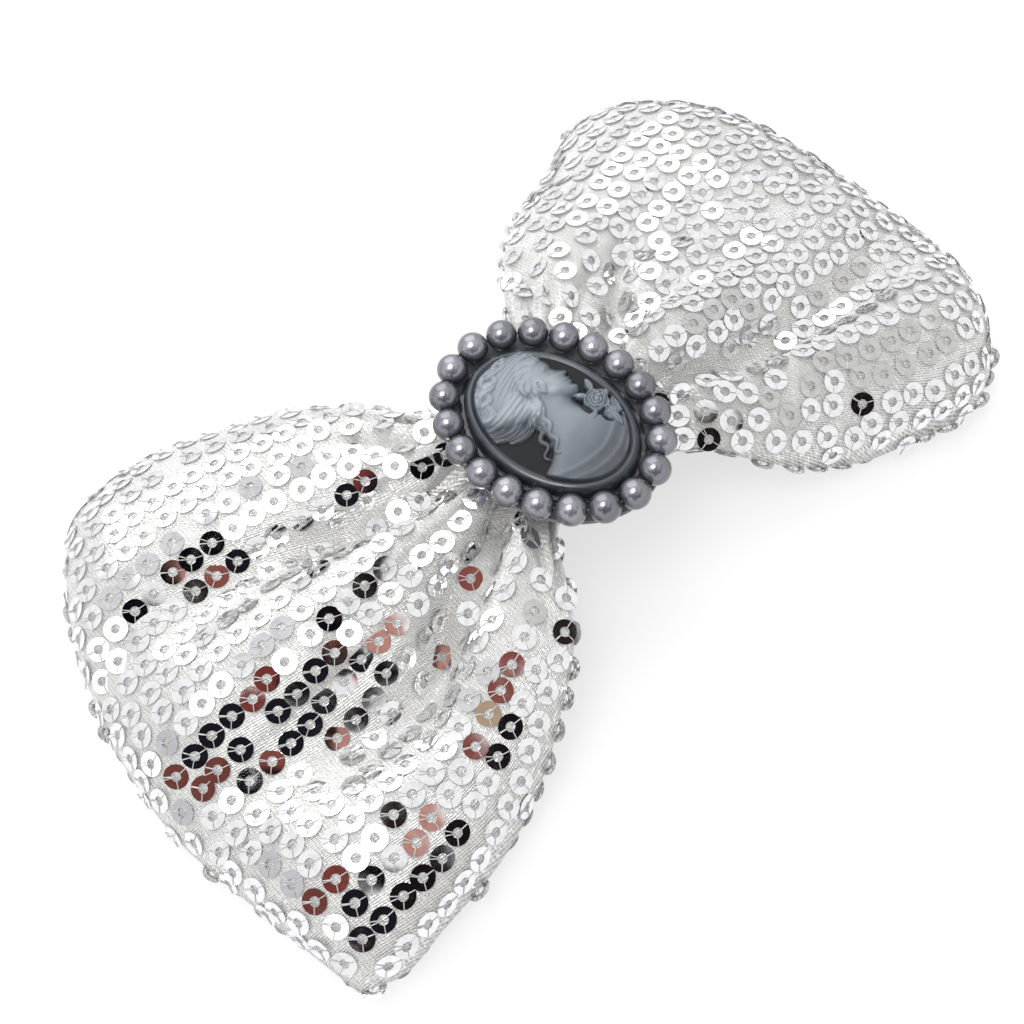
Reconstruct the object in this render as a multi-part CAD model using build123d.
from build123d import *

import os
from math import atan2, cos, degrees, exp, hypot, pi, sin

# Bow brooch: a stuffed sequin-cloth bow gathered at a bound waist, an oval cameo framed by a string of
# pearls on its front, and a bar pin with a turning safety catch on its back. The brooch lies on its back.
# +X runs along the bow, +Y is the wearer's up, +Z points out of the front, and the origin is on the surface
# it lies on, under the middle of the knot. Sizes are in millimetres.

# Driving dimensions of the bow
bow_length = 133.0
bow_height = 76.0
knot_offset = 1.9  # the knot sits this far to the right of the middle, so the left wing is longer
bow_top = 17.0  # highest point of a wing above the table
bow_edge = 1.8  # thickness left at a wing's outer end
waist_length = 12.0  # straight gathered part under the band
waist_height = 22.0
waist_thickness = 6.8
cloth = 0.8
least_hollow = 0.02  # each cloth's inner face stays at least this far off the seam's edge
seam_gap = 0.1  # between the front and back cloth, where they are sewn
wadding_gap = 0.25
pleat_count = 3
pleat_depth = 0.6
pleat_fade = (0.15, 0.75)  # shares of the wing between which the gathers die out
arc_steps = {1: 48, -1: 24}  # the front has folds, so its sections take more points
flatness = {1: 2.6, -1: 3.2}  # power of a section's outline: fuller below, where the bow lies on its back
crown_at = 0.35  # share of a wing's reach where it is thickest
crown_fall = 3.8  # power by which the crown falls from there to the outer end
last_section = 0.985  # share of the reach where the outer end is closed
crown_start = 0.02  # share of the reach where the top begins to rise
sag = (0.2, 0.55)  # shares of the reach between which the underside comes down to the table
seam_share = (0.5, 0.24)  # height of the seam in a section, at the waist and on the wings
seam_fall = 0.4  # share of the reach over which the seam comes down
belly_start = 0.15  # share of the reach by which a section has its full pillow shape

# The outline of each wing (-1 left, 1 right) on its upper (1) and lower (-1) side: shares of half the bow's
# height at shares of the wing's reach. The right wing's tip lies below the middle, so its upper edge ends
# below zero.
outline = {
    (-1, 1): [(0, 0.29), (0.10, 0.37), (0.20, 0.57), (0.36, 0.81), (0.54, 0.98), (0.66, 1.02), (0.77, 0.98),
              (0.83, 0.89), (0.88, 0.75), (0.92, 0.61), (0.96, 0.42), (0.985, 0.25), (1, 0.06)],
    (-1, -1): [(0, 0.29), (0.04, 0.33), (0.15, 0.58), (0.30, 0.76), (0.53, 0.92), (0.73, 0.955),
               (0.85, 0.965), (0.90, 0.94), (0.93, 0.84), (0.96, 0.62), (0.985, 0.36), (1, 0.10)],
    (1, 1): [(0, 0.29), (0.04, 0.39), (0.16, 0.62), (0.34, 0.85), (0.47, 0.95), (0.59, 1.01), (0.70, 0.985),
             (0.79, 0.88), (0.88, 0.70), (0.94, 0.50), (0.97, 0.22), (0.985, -0.04), (1, -0.26)],
    (1, -1): [(0, 0.29), (0.13, 0.38), (0.24, 0.55), (0.44, 0.755), (0.58, 0.85), (0.72, 0.915),
              (0.82, 0.89), (0.87, 0.82), (0.93, 0.71), (0.97, 0.60), (0.985, 0.54), (1, 0.44)],
}

# The main folds pressed into the front: wing, depth as a share of the front's rise over the seam, how far
# along the wing it fades, and its path as (share of the wing's reach, share across the wing).
folds = [
    (-1, 0.62, 0.85, [(0, -0.28), (0.12, -0.34), (0.25, -0.36), (0.50, -0.45), (0.70, -0.32), (1, -0.20)]),
    (-1, 0.45, 0.80, [(0, 0.08), (0.14, 0.13), (0.25, 0.23), (0.45, 0.29), (1, 0.30)]),
    (1, 0.65, 0.35, [(0, 0.05), (0.12, 0.12), (0.19, 0.20), (0.27, 0.30), (0.40, 0.38), (1, 0.44)]),
    (1, 0.55, 0.80, [(0, -0.17), (0.17, -0.30), (0.27, -0.37), (0.50, -0.40), (1, -0.36)]),
]
fold_width = (0.09, 0.09)  # at the waist, and what it gains by the outer end, as shares across the wing
fold_start = 0.12  # share of the wing by which a fold has its full depth

# Driving dimensions of the pin finding
wire_radius = 0.4
bar_length = 30.0
bar_width = 5.0
bar_thickness = 0.6
pin_level = 3.1  # height of the stem's axis above the table
bar_drop = 2.8  # from the stem's axis to the bar's face
hinge_x = -11.5
catch_x = 11.5
running_gap = 0.05
hole_radius = 0.8
hole_places = [-6.0, 0.0, 6.0]
lug_gap = 1.5  # clear width between the hinge lugs
lug_thickness = 0.6
rivet_radius = 0.5
head_radius = 0.85
head_height = 0.35
head_play = 0.02  # between a rivet head and its lug
eye_radius = 1.15
eye_bite = 0.1  # how far the wire runs into the eye
tip_radius = 0.08
tip_reach = 3.6  # the point ends this far past the catch's middle
taper_lead = 1.2  # the taper begins this far before the catch
ring_outer = 1.9
ring_inner = 1.4
ring_width = 1.2
ring_spread = 1.6  # clear width between the catch's two rings
slot_width = 1.3
web_width = 1.8
foot_thickness = 0.3
barrel_overhang = 0.2  # at each end, past the rings
lever_reach = 2.6
lever_thickness = 0.8
lever_play = 0.15  # between the lever and each ring
stem_channel = 0.6  # half width of the slot the stem passes through
stitch_radius = 0.16
stitch_bite = 0.45  # depth that a stitch goes into the felt
stitch_slack = 0.04  # between a stitch and the bar's face or edge
stitch_lean = 0.3  # each hole's two stitches stand this far either side of its middle
stitch_start = 0.4  # and this far from the bar's middle line
felt_margin = (3.0, 5.0)  # how much longer and wider than the bar its felt is

# Driving dimensions of the cameo and its pearls
cameo_long = 25.0
cameo_short = 18.0
cameo_lean = 8.0  # degrees the cameo is turned on the bow
cameo_drop = 2.0  # its centre lies this far below the middle of the knot
cameo_wall = 1.3
cameo_bevel = 0.9
bevel_inset = 1.1
pearl_radius = 2.05
pearl_count = 20
pearl_bore = 0.45
pearl_gap = 0.4  # between the cameo's wall and the pearls
string_radius = 0.12
disc_margin = 0.6  # the backing disc reaches this far past the middles of the pearls
relief_margin = 0.25  # bare edge of the field round the relief
glue_inset = 0.03
glue_width = 0.6
glue_height = 0.5

# Plain masses of the bust, in the cameo's own frame: middle, half width, half height, thickness, turn.
masses = {
    "head": (1.9, 4.0, 3.2, 4.0, 2.2, -10),
    "hair over the head": (0.3, 7.0, 4.9, 3.3, 2.4, -4),
    "gathered hair": (-3.5, 6.0, 2.9, 3.9, 2.3, 10),
    "hair behind the neck": (-3.3, 1.6, 2.1, 3.2, 1.9, -10),
    "neck": (0.9, -1.6, 2.0, 3.6, 1.7, 8),
    "shoulders and drape": (0.4, -7.0, 5.9, 4.4, 1.9, 4),
    "flower": (4.6, -3.9, 1.9, 1.9, 1.6, 0),
}

# Levels worked out from the stack
felt_thickness = 0.8
band_thickness = 0.6
thread_radius = 0.2
thread_clearance = 0.12
thread_turns = 4
thread_pitch = 0.8
band_width = 10.0
band_clearance = 2 * (thread_radius + thread_clearance)
disc_thickness = 0.8

bar_face = pin_level + bar_drop
felt_bottom = bar_face + bar_thickness
felt_top = felt_bottom + felt_thickness
band_half_thickness = waist_thickness / 2 + band_clearance + band_thickness
waist_level = felt_top + band_half_thickness
disc_bottom = waist_level + band_half_thickness
disc_top = disc_bottom + disc_thickness
field_level = disc_top + cameo_wall + cameo_bevel
pearl_level = disc_top + pearl_radius
ring_a = cameo_short / 2 + pearl_gap + pearl_radius
ring_b = cameo_long / 2 + pearl_gap + pearl_radius
wing_reach = {side: bow_length / 2 - side * knot_offset - waist_length / 2 for side in (-1, 1)}


def ease(t):
    """Smooth step from 0 to 1."""
    t = min(max(t, 0.0), 1.0)
    return t * t * (3 - 2 * t)


def through(points, x):
    """Height at x of a smooth curve through a few points: cubic pieces that share their slopes."""
    last = len(points) - 1
    slopes = []
    for i in range(last + 1):
        before = points[max(i - 1, 0)]
        after = points[min(i + 1, last)]
        slopes.append((after[1] - before[1]) / (after[0] - before[0]))
    i = 0
    while i < last - 1 and x > points[i + 1][0]:
        i += 1
    step = points[i + 1][0] - points[i][0]
    t = min(max((x - points[i][0]) / step, 0.0), 1.0)
    start = (1 + 2 * t) * (1 - t) ** 2 * points[i][1] + t * (1 - t) ** 2 * step * slopes[i]
    end = t * t * (3 - 2 * t) * points[i + 1][1] + t * t * (t - 1) * step * slopes[i + 1]
    return start + end


# The bow
def wing_of(x):
    """Which wing a section belongs to: -1 left, 1 right."""
    return -1 if x < 0 else 1


def wing_share(x):
    """How far along its wing a section lies: 0 at the waist, 1 at the outer end."""
    return max(0.0, (abs(x) - waist_length / 2) / wing_reach[wing_of(x)])


def edge_height(x, side):
    """Distance from the bow's middle line to its upper (1) or lower (-1) edge at x."""
    return bow_height / 2 * through(outline[wing_of(x), side], wing_share(x))


def underside(x):
    """Level of the bow's lowest line: the wings sag from the waist down to the table."""
    down = ease((wing_share(x) - sag[0]) / (sag[1] - sag[0]))
    return (waist_level - waist_thickness / 2) * (1 - down)


def top_line(x):
    """Level of the bow's highest line."""
    s = wing_share(x)
    rise = ease((s - crown_start) / crown_at)
    fall = max(0.0, (s - crown_at) / (last_section - crown_at)) ** crown_fall
    start = waist_level + waist_thickness / 2
    return start + (bow_top - start) * rise - (bow_top - bow_edge) * fall


def seam_line(x):
    """Level of the seam between the two cloths: half-way up at the waist, low on the wings."""
    share = seam_share[0] - (seam_share[0] - seam_share[1]) * ease(wing_share(x) / seam_fall)
    return underside(x) + share * (top_line(x) - underside(x))


def pleat(x, across):
    """Height that the gathers add at a share across (-1 to 1) of a section: deepest outside the waist."""
    s = wing_share(x)
    fading = ease((s - pleat_fade[0]) / (pleat_fade[1] - pleat_fade[0]))
    depth = pleat_depth * ease(s / fold_start) * (1 - fading)
    return depth * cos(pi * pleat_count * across) * (1 - across**2)


def fold_share(x, y):
    """How much of the front's rise the main folds take away at a place."""
    s = wing_share(x)
    across = y / edge_height(x, 1 if y > 0 else -1)
    width = fold_width[0] + fold_width[1] * s
    taken = 0.0
    for wing, depth, fading, path in folds:
        if wing == wing_of(x):
            off = (across - through(path, s)) / width
            taken = max(taken, depth * exp(-((s / fading) ** 2)) * exp(-(off**2)))
    return taken * ease(s / fold_start)


def arc_points(x, inset, side, seam):
    """Points of a section's upper (side 1) or lower (side -1) outline, taken in by inset, from -Y to +Y."""
    upper, lower = edge_height(x, 1), edge_height(x, -1)
    middle = (upper - lower) / 2
    half = (upper + lower) / 2
    wide = half - inset
    seam_level = seam_line(x)
    rise = abs((top_line(x) if side > 0 else underside(x)) - seam_level)
    tall = max(rise - inset, seam + least_hollow)
    belly = ease(wing_share(x) / belly_start)
    steps = arc_steps[side]
    points = []
    for i in range(steps + 1):
        turn = pi * (1 - i / steps)
        across = cos(turn)
        y = middle + wide * across
        flat_shape = max(0.0, 1 - abs(across) ** flatness[side]) ** 0.5
        bulge = (1 - belly) * sin(turn) + belly * flat_shape if 0 < i < steps else 0.0
        change = 0.0
        if side > 0 and bulge > 0:
            full = max(0.0, 1 - abs((y - middle) / half) ** flatness[side]) ** 0.5
            change = pleat(x, across) * bulge - fold_share(x, y) * rise * full
        points.append((x, y, seam_level + side * (seam + (tall - seam) * bulge) + change))
    return points


def cloth_section(x, side):
    """Closed outline of one cloth at x: the outer curve, the inner curve and the two seam edges."""
    seam = seam_gap / 2
    outer = arc_points(x, 0, side, seam)
    inner = arc_points(x, cloth, side, seam)
    return Wire(
        [
            Spline(*outer).edge(),
            Line(outer[-1], inner[-1]).edge(),
            Spline(*reversed(inner)).edge(),
            Line(inner[0], outer[0]).edge(),
        ]
    )


def wing_stations():
    """Shares of the wing's reach where its sections stand: closer together at the waist and at the end."""
    return [0.0, 0.04, 0.09, 0.15, 0.22, 0.30, 0.40, 0.52, 0.64, 0.74, 0.82, 0.88, 0.925, 0.96, last_section]


def section_places():
    """X of every section of the whole bow, from the left end to the right end."""
    left = [-waist_length / 2 - s * wing_reach[-1] for s in reversed(wing_stations())]
    right = [waist_length / 2 + s * wing_reach[1] for s in wing_stations()]
    return left + [0.0] + right


def end_wall(x, side):
    """Cloth that closes a wing's outer end, as thick as the cloth and filling its end section."""
    outer = arc_points(x, 0, side, seam_gap / 2)
    wall = Face(Wire([Spline(*outer).edge(), Line(outer[-1], outer[0]).edge()]))
    return extrude(wall, amount=cloth, dir=(wing_of(x), 0, 0))


def bow_cloth(side):
    """One cloth of the bow, in one piece through the waist: the front (1) or the plain back (-1)."""
    places = section_places()
    tube = Solid.make_loft([cloth_section(x, side) for x in places])
    return tube + end_wall(places[0], side) + end_wall(places[-1], side)


def wadding(side):
    """Fibre filling of one wing."""
    inset = cloth + wadding_gap
    sections = []
    for s in wing_stations()[2:-2]:
        x = side * (waist_length / 2 + s * wing_reach[side])
        upper = arc_points(x, inset, 1, 0)
        lower = arc_points(x, inset, -1, 0)
        sections.append(Wire([Spline(*upper).edge(), Spline(*reversed(lower)).edge()]))
    return Solid.make_loft(sections)


# The waist
def waist_ring(grow_in, grow_out, width):
    """Oval ring round the waist, its two faces standing grow_in and grow_out off the cloth."""
    across = waist_height / 2
    thick = waist_thickness / 2
    start = Plane.YZ.offset(-width / 2) * Pos(0, waist_level)
    outer = Ellipse(across + grow_out, thick + grow_out)
    inner = Ellipse(across + grow_in, thick + grow_in)
    return extrude(start * (outer - inner), amount=width)


def knot_band():
    """Cloth strip wrapped once round the bound waist."""
    return waist_ring(band_clearance, band_clearance + band_thickness, band_width)


def waist_thread():
    """Binding thread: separate turns laid side by side round the gathered waist."""
    turns = []
    for i in range(thread_turns):
        ring = waist_ring(thread_clearance, thread_clearance + 2 * thread_radius, 2 * thread_radius)
        turns.append(Pos((i - (thread_turns - 1) / 2) * thread_pitch, 0, 0) * ring)
    return Compound(children=turns)


# The pin finding on the back
def felt_pad():
    """Oval felt patch glued over the band, carrying the bar."""
    patch = SlotOverall(bar_length + felt_margin[0], bar_width + felt_margin[1])
    return extrude(Pos(0, 0, felt_bottom) * patch, amount=felt_thickness)


def bar_plate():
    """Stamped bar: round-ended strip with three sewing holes and two hinge lugs bent down."""
    strip = extrude(Pos(0, 0, bar_face) * SlotOverall(bar_length, bar_width), amount=bar_thickness)
    for x in hole_places:
        strip -= Pos(x, 0, bar_face) * Cylinder(hole_radius, 4 * bar_thickness)
    lug_drop = bar_face - pin_level
    for side in (-1, 1):
        outline = Pos(0, -lug_drop / 2) * Rectangle(2 * eye_radius, lug_drop)
        outline += Pos(0, -lug_drop) * Circle(eye_radius)
        outline -= Pos(0, -lug_drop) * Circle(rivet_radius + running_gap)
        y = side * (lug_gap / 2 + lug_thickness / 2)
        face = Plane((hinge_x, y + lug_thickness / 2, bar_face), x_dir=(1, 0, 0), z_dir=(0, -1, 0)) * outline
        strip += extrude(face, amount=lug_thickness)
    return strip


def along_y(x, radius, length):
    """Cylinder on the hinge line's level, lying along Y."""
    return Pos(x, 0, pin_level) * Rot(90, 0, 0) * Cylinder(radius, length)


def along_x(x, radius, length):
    """Cylinder on the stem's axis, lying along X."""
    return Pos(x, 0, pin_level) * Rot(0, 90, 0) * Cylinder(radius, length)


def hinge_rivet():
    """Rivet through the lugs and the stem's eye, headed on both sides."""
    over_lugs = lug_gap + 2 * lug_thickness
    rivet = along_y(hinge_x, rivet_radius, over_lugs + 2 * head_height)
    for side in (-1, 1):
        head = along_y(hinge_x, head_radius, head_height)
        rivet += Pos(0, side * (over_lugs / 2 + head_height / 2 + head_play), 0) * head
    return rivet


def pin_stem():
    """Steel stem: a flattened eye on the rivet, straight wire, and a long tapered point."""
    start = hinge_x + eye_radius - eye_bite
    end = catch_x - ring_spread / 2 - ring_width - taper_lead
    tip = catch_x + tip_reach
    eye = along_y(hinge_x, eye_radius, lug_gap - 2 * running_gap)
    wire = along_x((start + end) / 2, wire_radius, end - start)
    point = Pos((end + tip) / 2, 0, pin_level) * Rot(0, 90, 0) * Cone(wire_radius, tip_radius, tip - end)
    return eye + wire + point - along_y(hinge_x, rivet_radius + running_gap, 3 * lug_gap)


def catch_housing():
    """Catch: two slotted rings on a foot under the bar, open downwards so that the stem can leave."""
    housing = None
    for side in (-1, 1):
        x = catch_x + side * (ring_spread + ring_width) / 2
        web = Pos(x, 0, pin_level + bar_drop / 2) * Box(ring_width, web_width, bar_drop)
        ring = along_x(x, ring_outer, ring_width) + web
        ring -= along_x(x, ring_inner, 2 * ring_width)
        ring -= Pos(x, 0, pin_level - ring_outer) * Box(2 * ring_width, slot_width, 2 * ring_outer)
        housing = ring if housing is None else housing + ring
    foot = Box(ring_spread + 2 * ring_width, web_width, foot_thickness)
    return housing + Pos(catch_x, 0, bar_face - foot_thickness / 2) * foot


def catch_roller():
    """Turning barrel of the safety catch, slotted like the rings, with the thumb lever between them."""
    length = ring_spread + 2 * (ring_width + barrel_overhang)
    barrel = along_x(catch_x, ring_inner - running_gap, length)
    lever = Box(ring_spread - 2 * lever_play, lever_reach, lever_thickness)
    barrel += Pos(catch_x, -lever_reach / 2, pin_level) * lever
    barrel -= along_x(catch_x, stem_channel, 2 * length)
    barrel -= Pos(catch_x, 0, pin_level - ring_inner) * Box(2 * length, 2 * stem_channel, 2 * ring_inner)
    return barrel


def bar_stitches():
    """Thread loops that sew the bar to the felt: each comes through a hole and goes over the bar's edge."""
    loops = []
    low = bar_face - stitch_radius - stitch_slack
    high = felt_bottom + stitch_bite
    for place in hole_places:
        for side in (-1, 1):
            x = place + side * stitch_lean
            near = side * stitch_start
            far = side * (bar_width / 2 + stitch_radius + stitch_slack)
            route = Polyline((x, near, high), (x, near, low), (x, far, low), (x, far, high))
            start = Plane(route @ 0, z_dir=route % 0)
            loops.append(sweep(start * Circle(stitch_radius), path=route, transition=Transition.RIGHT))
    return Compound(children=loops)


# The cameo and its pearls
def oval(level, inset=0.0):
    """Oval of the cameo's outline, taken in by inset."""
    return Pos(0, 0, level) * Ellipse(cameo_short / 2 - inset, cameo_long / 2 - inset)


def leaned(shape):
    """Turned and lowered with the cameo on the bow."""
    return Pos(0, -cameo_drop, 0) * Rot(0, 0, cameo_lean) * shape


def backing_disc():
    """Oval disc under the cameo and the pearls, glued to the band."""
    oval_disc = Ellipse(ring_a + disc_margin, ring_b + disc_margin)
    return leaned(extrude(Pos(0, 0, disc_bottom) * oval_disc, amount=disc_thickness))


def cameo_base():
    """Dark oval cabochon: flat back, straight wall, sloping rim and flat field."""
    wall = extrude(oval(disc_top), amount=cameo_wall)
    rim = loft([oval(disc_top + cameo_wall), oval(field_level, bevel_inset)])
    return leaned(wall + rim)


def egg(x, y, a, b, height, turn):
    """Low egg-shaped mound of the relief, standing on the field."""
    mound = scale(Sphere(1), by=(a, b, height))
    return Pos(x, y, field_level) * Rot(0, 0, turn) * mound


def cameo_relief():
    """Light relief of a bust in profile with gathered hair, a drape and a flower, in plain masses."""
    bust = None
    for numbers in masses.values():
        bust = egg(*numbers) if bust is None else bust + egg(*numbers)
    inside = extrude(oval(field_level, bevel_inset + relief_margin), amount=cameo_wall + cameo_bevel)
    return leaned(bust & inside)


def ring_angles():
    """Angles of the oval's parameter that space the pearls evenly along it."""
    steps = 3600
    walked = [0.0]
    for i in range(steps):
        t = 2 * pi * (i + 0.5) / steps
        walked.append(walked[-1] + hypot(ring_a * sin(t), ring_b * cos(t)) * 2 * pi / steps)
    angles = []
    for n in range(pearl_count):
        target = walked[-1] * (n + 0.5) / pearl_count
        nearest = min(range(steps), key=lambda i: abs(walked[i] - target))
        angles.append(2 * pi * nearest / steps)
    return angles


def pearl(t):
    """Drilled pearl at the oval's parameter t, its bore along the string."""
    heading = degrees(atan2(ring_b * cos(t), -ring_a * sin(t)))
    bead = Sphere(pearl_radius) - Rot(0, 90, 0) * Cylinder(pearl_bore, 3 * pearl_radius)
    return leaned(Pos(ring_a * cos(t), ring_b * sin(t), pearl_level) * Rot(0, 0, heading) * bead)


def pearl_string():
    """Closed loop of thread through all the pearls."""
    path = Pos(0, 0, pearl_level) * Edge.make_ellipse(ring_a, ring_b)
    start = Plane(path @ 0, z_dir=path % 0)
    return leaned(sweep(start * Circle(string_radius), path=path))


def glue_bead():
    """Bead of clear glue round the foot of the cameo."""
    outer = oval(disc_top, -glue_inset - glue_width)
    inner = oval(disc_top, -glue_inset)
    return leaned(extrude(outer - inner, amount=glue_height))


# Write one file per piece
pieces = {
    "front_cloth": bow_cloth(1),
    "back_cloth": bow_cloth(-1),
    "left_wadding": wadding(-1),
    "right_wadding": wadding(1),
    "waist_thread": waist_thread(),
    "knot_band": knot_band(),
    "felt_pad": felt_pad(),
    "bar_plate": bar_plate(),
    "bar_stitches": bar_stitches(),
    "hinge_rivet": hinge_rivet(),
    "pin_stem": pin_stem(),
    "catch_housing": catch_housing(),
    "catch_roller": catch_roller(),
    "backing_disc": backing_disc(),
    "cameo_base": cameo_base(),
    "cameo_relief": cameo_relief(),
    "glue_bead": glue_bead(),
    "pearl_string": pearl_string(),
}
for number, angle in enumerate(ring_angles(), start=1):
    pieces[f"pearl_{number:02d}"] = pearl(angle)

os.makedirs("parts", exist_ok=True)
for name, shape in pieces.items():
    export_step(shape, f"parts/{name}.step")
print("pieces", len(pieces), "levels", round(waist_level, 2), round(disc_top, 2), round(field_level, 2))
